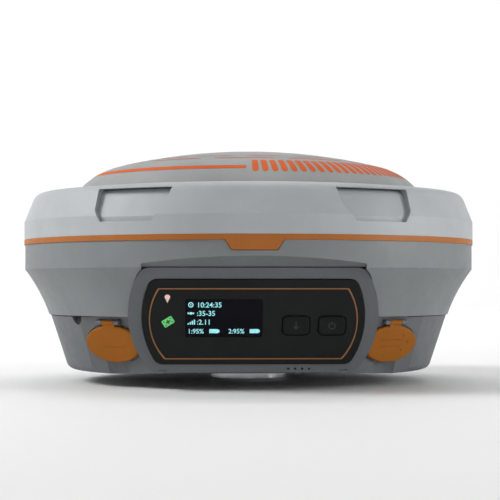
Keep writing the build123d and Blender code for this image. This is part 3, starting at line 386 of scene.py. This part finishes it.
def time_icon(x, y):
    """A ring with a dot in it, about its middle."""
    return arc_outlines(x, y, 0.65, 1.0, 0, 360) + arc_outlines(x, y, 0.0, 0.3, 0, 360, 8)


def satellite_icon(x, y):
    """A square body between two smaller wings, from its lower left."""
    body, wing = 0.9, 0.6
    body_x, wing_x, body_y, wing_y = 0.75, 1.8, 0.5, 0.65
    return [box_outline(x + body_x, y + body_y, body, body),
            box_outline(x, y + wing_y, wing, wing),
            box_outline(x + wing_x, y + wing_y, wing, wing)]


def signal_icon(x, y):
    """Four bars, each taller than the last."""
    pitch, wide, first, rise = 0.75, 0.5, 0.5, 0.45
    return [box_outline(x + pitch * i, y, wide, first + rise * i) for i in range(4)]


def battery_icon(x, y):
    """A cell and the shorter tip at its right."""
    wide, tall, tip_wide, tip_low, tip_high = 3.0, 1.55, 0.75, 0.4, 1.15
    tip = [(x + wide, y), (x + wide + tip_wide, y + tip_low),
           (x + wide + tip_wide, y + tip_high), (x + wide, y + tall)]
    return [box_outline(x, y, wide, tall), tip]


def make_display():
    """Four rows on the lit display: time, counts, quality and both batteries."""
    place = panel_place("display_window")
    left = -place.wide / MM / 2 + DISPLAY_EDGE
    text_piece("display_time", "10:24:35", left + DIGIT_X, TIME_Y, DIGIT_H, place)
    text_piece("display_counts", ":35-35", left + DIGIT_X, COUNTS_Y, DIGIT_H, place)
    text_piece("display_quality", ":2.11", left + DIGIT_X, QUALITY_Y, DIGIT_H, place)
    text_piece("display_charge_a", "1:95%", left, CHARGE_Y, CHARGE_H, place)
    text_piece("display_charge_b", "2:95%", left + CHARGE_B_X, CHARGE_Y, CHARGE_H, place)
    ring_x, ring_y = 1.2, 0.95
    icons = time_icon(left + ring_x, TIME_Y + ring_y)
    icons += satellite_icon(left, COUNTS_Y)
    icons += signal_icon(left, QUALITY_Y)
    for x in (CHARGE_ICON_A_X, CHARGE_ICON_B_X):
        icons += battery_icon(left + x, CHARGE_Y + CHARGE_ICON_Y)
    flat_piece("display_icons", icons, place, "pixel_cyan")


# ---- Marks on the keys and the green lens ----

def key_place(name):
    """The middle of a key's front, found by a ray from outside towards its switch."""
    panel = panel_place("display_window")
    low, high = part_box("button_switches")
    key_low, key_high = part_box(name)
    outside, key_depth = 0.05, 0.04
    start = (low + high) / 2 + panel.out * outside
    start.x = (key_low.x + key_high.x) / 2
    hit, where, _, _ = frame["nodes"][name].ray_cast(start, -panel.out)
    middle = where if hit else start - panel.out * key_depth
    return panel._replace(middle=middle, wide=key_high.x - key_low.x)


def make_key_marks():
    """A down arrow on the function key and a power sign on the power key."""
    stem = box_outline(-0.2, -0.7, 0.4, 2.3)
    head = [(-1.05, -0.35), (0, -1.4), (1.05, -0.35), (0.75, -0.1), (0, -0.85), (-0.75, -0.1)]
    flat_piece("arrow_mark", [stem, head], key_place("function_button"), "key_mark",
               "function_button")
    ring = arc_outlines(0, 0, 1.0, 1.35, 125, 415, 20)
    stroke = box_outline(-0.18, 0.3, 0.36, 1.3)
    flat_piece("power_mark", ring + [stroke], key_place("power_button"), "key_mark",
               "power_button")


def turned(outline, degrees):
    turn = math.radians(degrees)
    cos, sin = math.cos(turn), math.sin(turn)
    return [(x * cos - y * sin, x * sin + y * cos) for x, y in outline]


def make_satellite_mark():
    """Dark shapes on the green lens: a body, the arms at its sides and two wings."""
    panel = panel_place("display_window")
    low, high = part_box("satellite_lens")
    centre = (low + high) / 2
    centre += panel.out * (panel.middle - centre).dot(panel.out)
    spots = [(-0.95, -0.26, 0.69, 0.52), (0.26, -0.26, 0.69, 0.52), (-0.26, -0.8, 0.52, 1.6)]
    spots += [(x, y, 0.5, 0.42) for x in (-1.6, 1.1) for y in (-0.95, 0.53)]
    outlines = [turned(box_outline(*spot), 32) for spot in spots]
    flat_piece("satellite_mark", outlines, panel._replace(middle=centre), "lens_dark")


# ---- The dome's painted marks ----

def dome_point(azimuth, radius):
    """A point on the dome at an azimuth from the front towards +X, found by dropping a ray on it."""
    ray_start_z = cad_high.z + 0.05
    a = math.radians(azimuth)
    x = radius * MM * math.sin(a)
    y = -radius * MM * math.cos(a)
    dome = frame["nodes"]["dome_cover"]
    hit, where, _, _ = dome.ray_cast(Vector((x, y, ray_start_z)), Vector((0, 0, -1)))
    height = where.z if hit else cad_high.z
    return Vector((x, y, height + DOME_MARK_LIFT * MM))


def dome_strips(name, strips, material):
    """Thin painted marks that follow the dome; each strip is azimuth and radius ranges."""
    points, faces = [], []
    for start, end, inner, outer in strips:
        turns = max(1, math.ceil(abs(end - start) / DOME_STEP_TURN))
        steps = max(1, math.ceil(abs(outer - inner) / DOME_STEP_RADIUS))
        first = len(points)
        for i in range(turns + 1):
            for j in range(steps + 1):
                azimuth = start + (end - start) * i / turns
                points.append(dome_point(azimuth, inner + (outer - inner) * j / steps))
        for i in range(turns):
            for j in range(steps):
                a = first + i * (steps + 1) + j
                faces.append([a, a + 1, a + steps + 2, a + steps + 1])
    add_mesh(name, points, faces, material)


def rounded_bar(azimuth, inner, outer, wide):
    """A radial bar with round ends, as stacked short strips."""
    half = wide / 2
    strips = []
    for k in range(BAR_END_CUTS):
        low, high = k / BAR_END_CUTS, (k + 1) / BAR_END_CUTS
        share = math.sqrt(1 - (1 - (low + high) / 2) ** 2)
        near_end = (inner + half * low, inner + half * high)
        far_end = (outer - half * high, outer - half * low)
        for near, far in (near_end, far_end):
            reach = math.degrees(half * share / ((near + far) / 2))
            strips.append((azimuth - reach, azimuth + reach, near, far))
    reach = math.degrees(half / ((inner + outer) / 2))
    strips.append((azimuth - reach, azimuth + reach, inner + half, outer - half))
    return strips


def make_dome_art():
    """A line round the left half, bars round the right half, and two rings of dashes inside them."""
    line = [(LINE_START, LINE_END, LINE_INNER, LINE_OUTER)]
    dome_strips("dome_line", line, "art_orange")
    bars = []
    for i in range(BAR_COUNT):
        bars += rounded_bar(BAR_START + BAR_PITCH * i, BAR_INNER, BAR_OUTER, BAR_W)
    dome_strips("dome_bars", bars, "art_orange")
    outer = [(a, a + OUTER_DASH_TURN, OUTER_DASH_INNER, OUTER_DASH_OUTER) for a in OUTER_DASH_STARTS]
    dome_strips("dome_dashes_outer", outer, "art_orange")
    inner = [(a, a + INNER_DASH_TURN, INNER_DASH_INNER, INNER_DASH_OUTER) for a in INNER_DASH_STARTS]
    dome_strips("dome_dashes_inner", inner, "art_pink")


# ---- Studio ----

def paper_material(name, colour, rough):
    material, tree, shader = new_material(name)
    shade = spread(tree, noise(tree, own_place(tree), 3.0), 0.0, 1.0)
    darker = tuple(c * 0.985 for c in colour)
    tree.links.new(mixed(tree, shade, darker, colour), shader.inputs["Base Color"])
    shader.inputs["Roughness"].default_value = rough
    return material


def floor_profile():
    """Radius and height from the floor's middle, round its bend and up its wall, in metres."""
    flat, bend, top, bend_steps = 1.7, 0.7, 3.2, 12
    profile = [(0.25, 0.0), (0.8, 0.0), (flat, 0.0)]
    for i in range(1, bend_steps + 1):
        turn = math.pi / 2 * i / bend_steps
        profile.append((flat + bend * math.sin(turn), bend - bend * math.cos(turn)))
    profile.append((flat + bend, top))
    return profile


def make_floor():
    """A round pale floor that curves up into a wall on every side."""
    around = 96
    profile = floor_profile()
    points, faces = [(0.0, 0.0, 0.0)], []
    for r, z in profile:
        for i in range(around):
            turn = 2 * math.pi * i / around
            points.append((r * math.cos(turn), r * math.sin(turn), z))
    for i in range(around):
        faces.append([0, 1 + i, 1 + (i + 1) % around])
    for k in range(len(profile) - 1):
        for i in range(around):
            a = 1 + k * around + i
            b = 1 + k * around + (i + 1) % around
            faces.append([a, a + around, b + around, b])
    data = bpy.data.meshes.new("studio_floor")
    data.from_pydata(points, [], faces)
    data.polygons.foreach_set("use_smooth", [True] * len(faces))
    data.materials.append(paper_material("studio_paper", (0.84, 0.84, 0.84), 0.7))
    floor = bpy.data.objects.new("studio_floor", data)
    bpy.context.scene.collection.objects.link(floor)


def soft_light(name, place, target, wide, tall, power):
    data = bpy.data.lights.new(name, "AREA")
    data.shape = "RECTANGLE"
    data.size = wide
    data.size_y = tall
    data.energy = power
    lamp = bpy.data.objects.new(name, data)
    bpy.context.scene.collection.objects.link(lamp)
    lamp.location = place
    lamp.rotation_mode = "QUATERNION"
    lamp.rotation_quaternion = (Vector(target) - Vector(place)).to_track_quat("-Z", "Y")


def make_lights():
    middle = (0, 0, 0.05)
    foot = (0, 0, 0)
    wall = (0, 2.0, 0.6)
    soft_light("key_left", (-1.2, -0.1, 0.9), middle, wide=0.5, tall=0.6, power=15.0)
    soft_light("fill_right", (1.2, -0.35, 0.3), middle, wide=0.4, tall=0.5, power=6.6)
    soft_light("top", (0.1, 0.3, 1.4), middle, wide=0.8, tall=0.6, power=3.0)
    soft_light("front_low", (0.1, -1.3, 0.14), foot, wide=0.5, tall=0.1, power=0.6)
    soft_light("backdrop", (0, 0.9, 1.7), wall, wide=2.0, tall=0.3, power=26.0)


def make_world():
    world = bpy.data.worlds.new("studio")
    world.use_nodes = True
    background = world.node_tree.nodes["Background"]
    background.inputs["Color"].default_value = (1, 1, 1, 1)
    background.inputs["Strength"].default_value = 0.13
    bpy.context.scene.world = world
    bpy.context.scene.view_settings.view_transform = "Standard"


def make_camera():
    data = bpy.data.cameras.new("camera")
    data.lens = CAMERA_LENS
    data.sensor_width = 36.0
    data.clip_start = 0.05
    data.clip_end = 20.0
    camera = bpy.data.objects.new("camera", data)
    bpy.context.scene.collection.objects.link(camera)
    azimuth = math.radians(CAMERA_AZIMUTH)
    x = CAMERA_DISTANCE * math.sin(azimuth)
    y = -CAMERA_DISTANCE * math.cos(azimuth)
    camera.location = (x, y, CAMERA_HEIGHT)
    pitch = math.radians(90 + CAMERA_PITCH)
    camera.rotation_euler = (pitch, 0, azimuth + math.radians(CAMERA_YAW))
    bpy.context.scene.camera = camera


make_shell_materials()
make_panel_materials()
make_metal_materials()
make_inside_materials()
make_mark_materials()
dress_nodes()
make_display()
make_key_marks()
make_satellite_mark()
make_dome_art()
make_floor()
make_lights()
make_world()
make_camera()
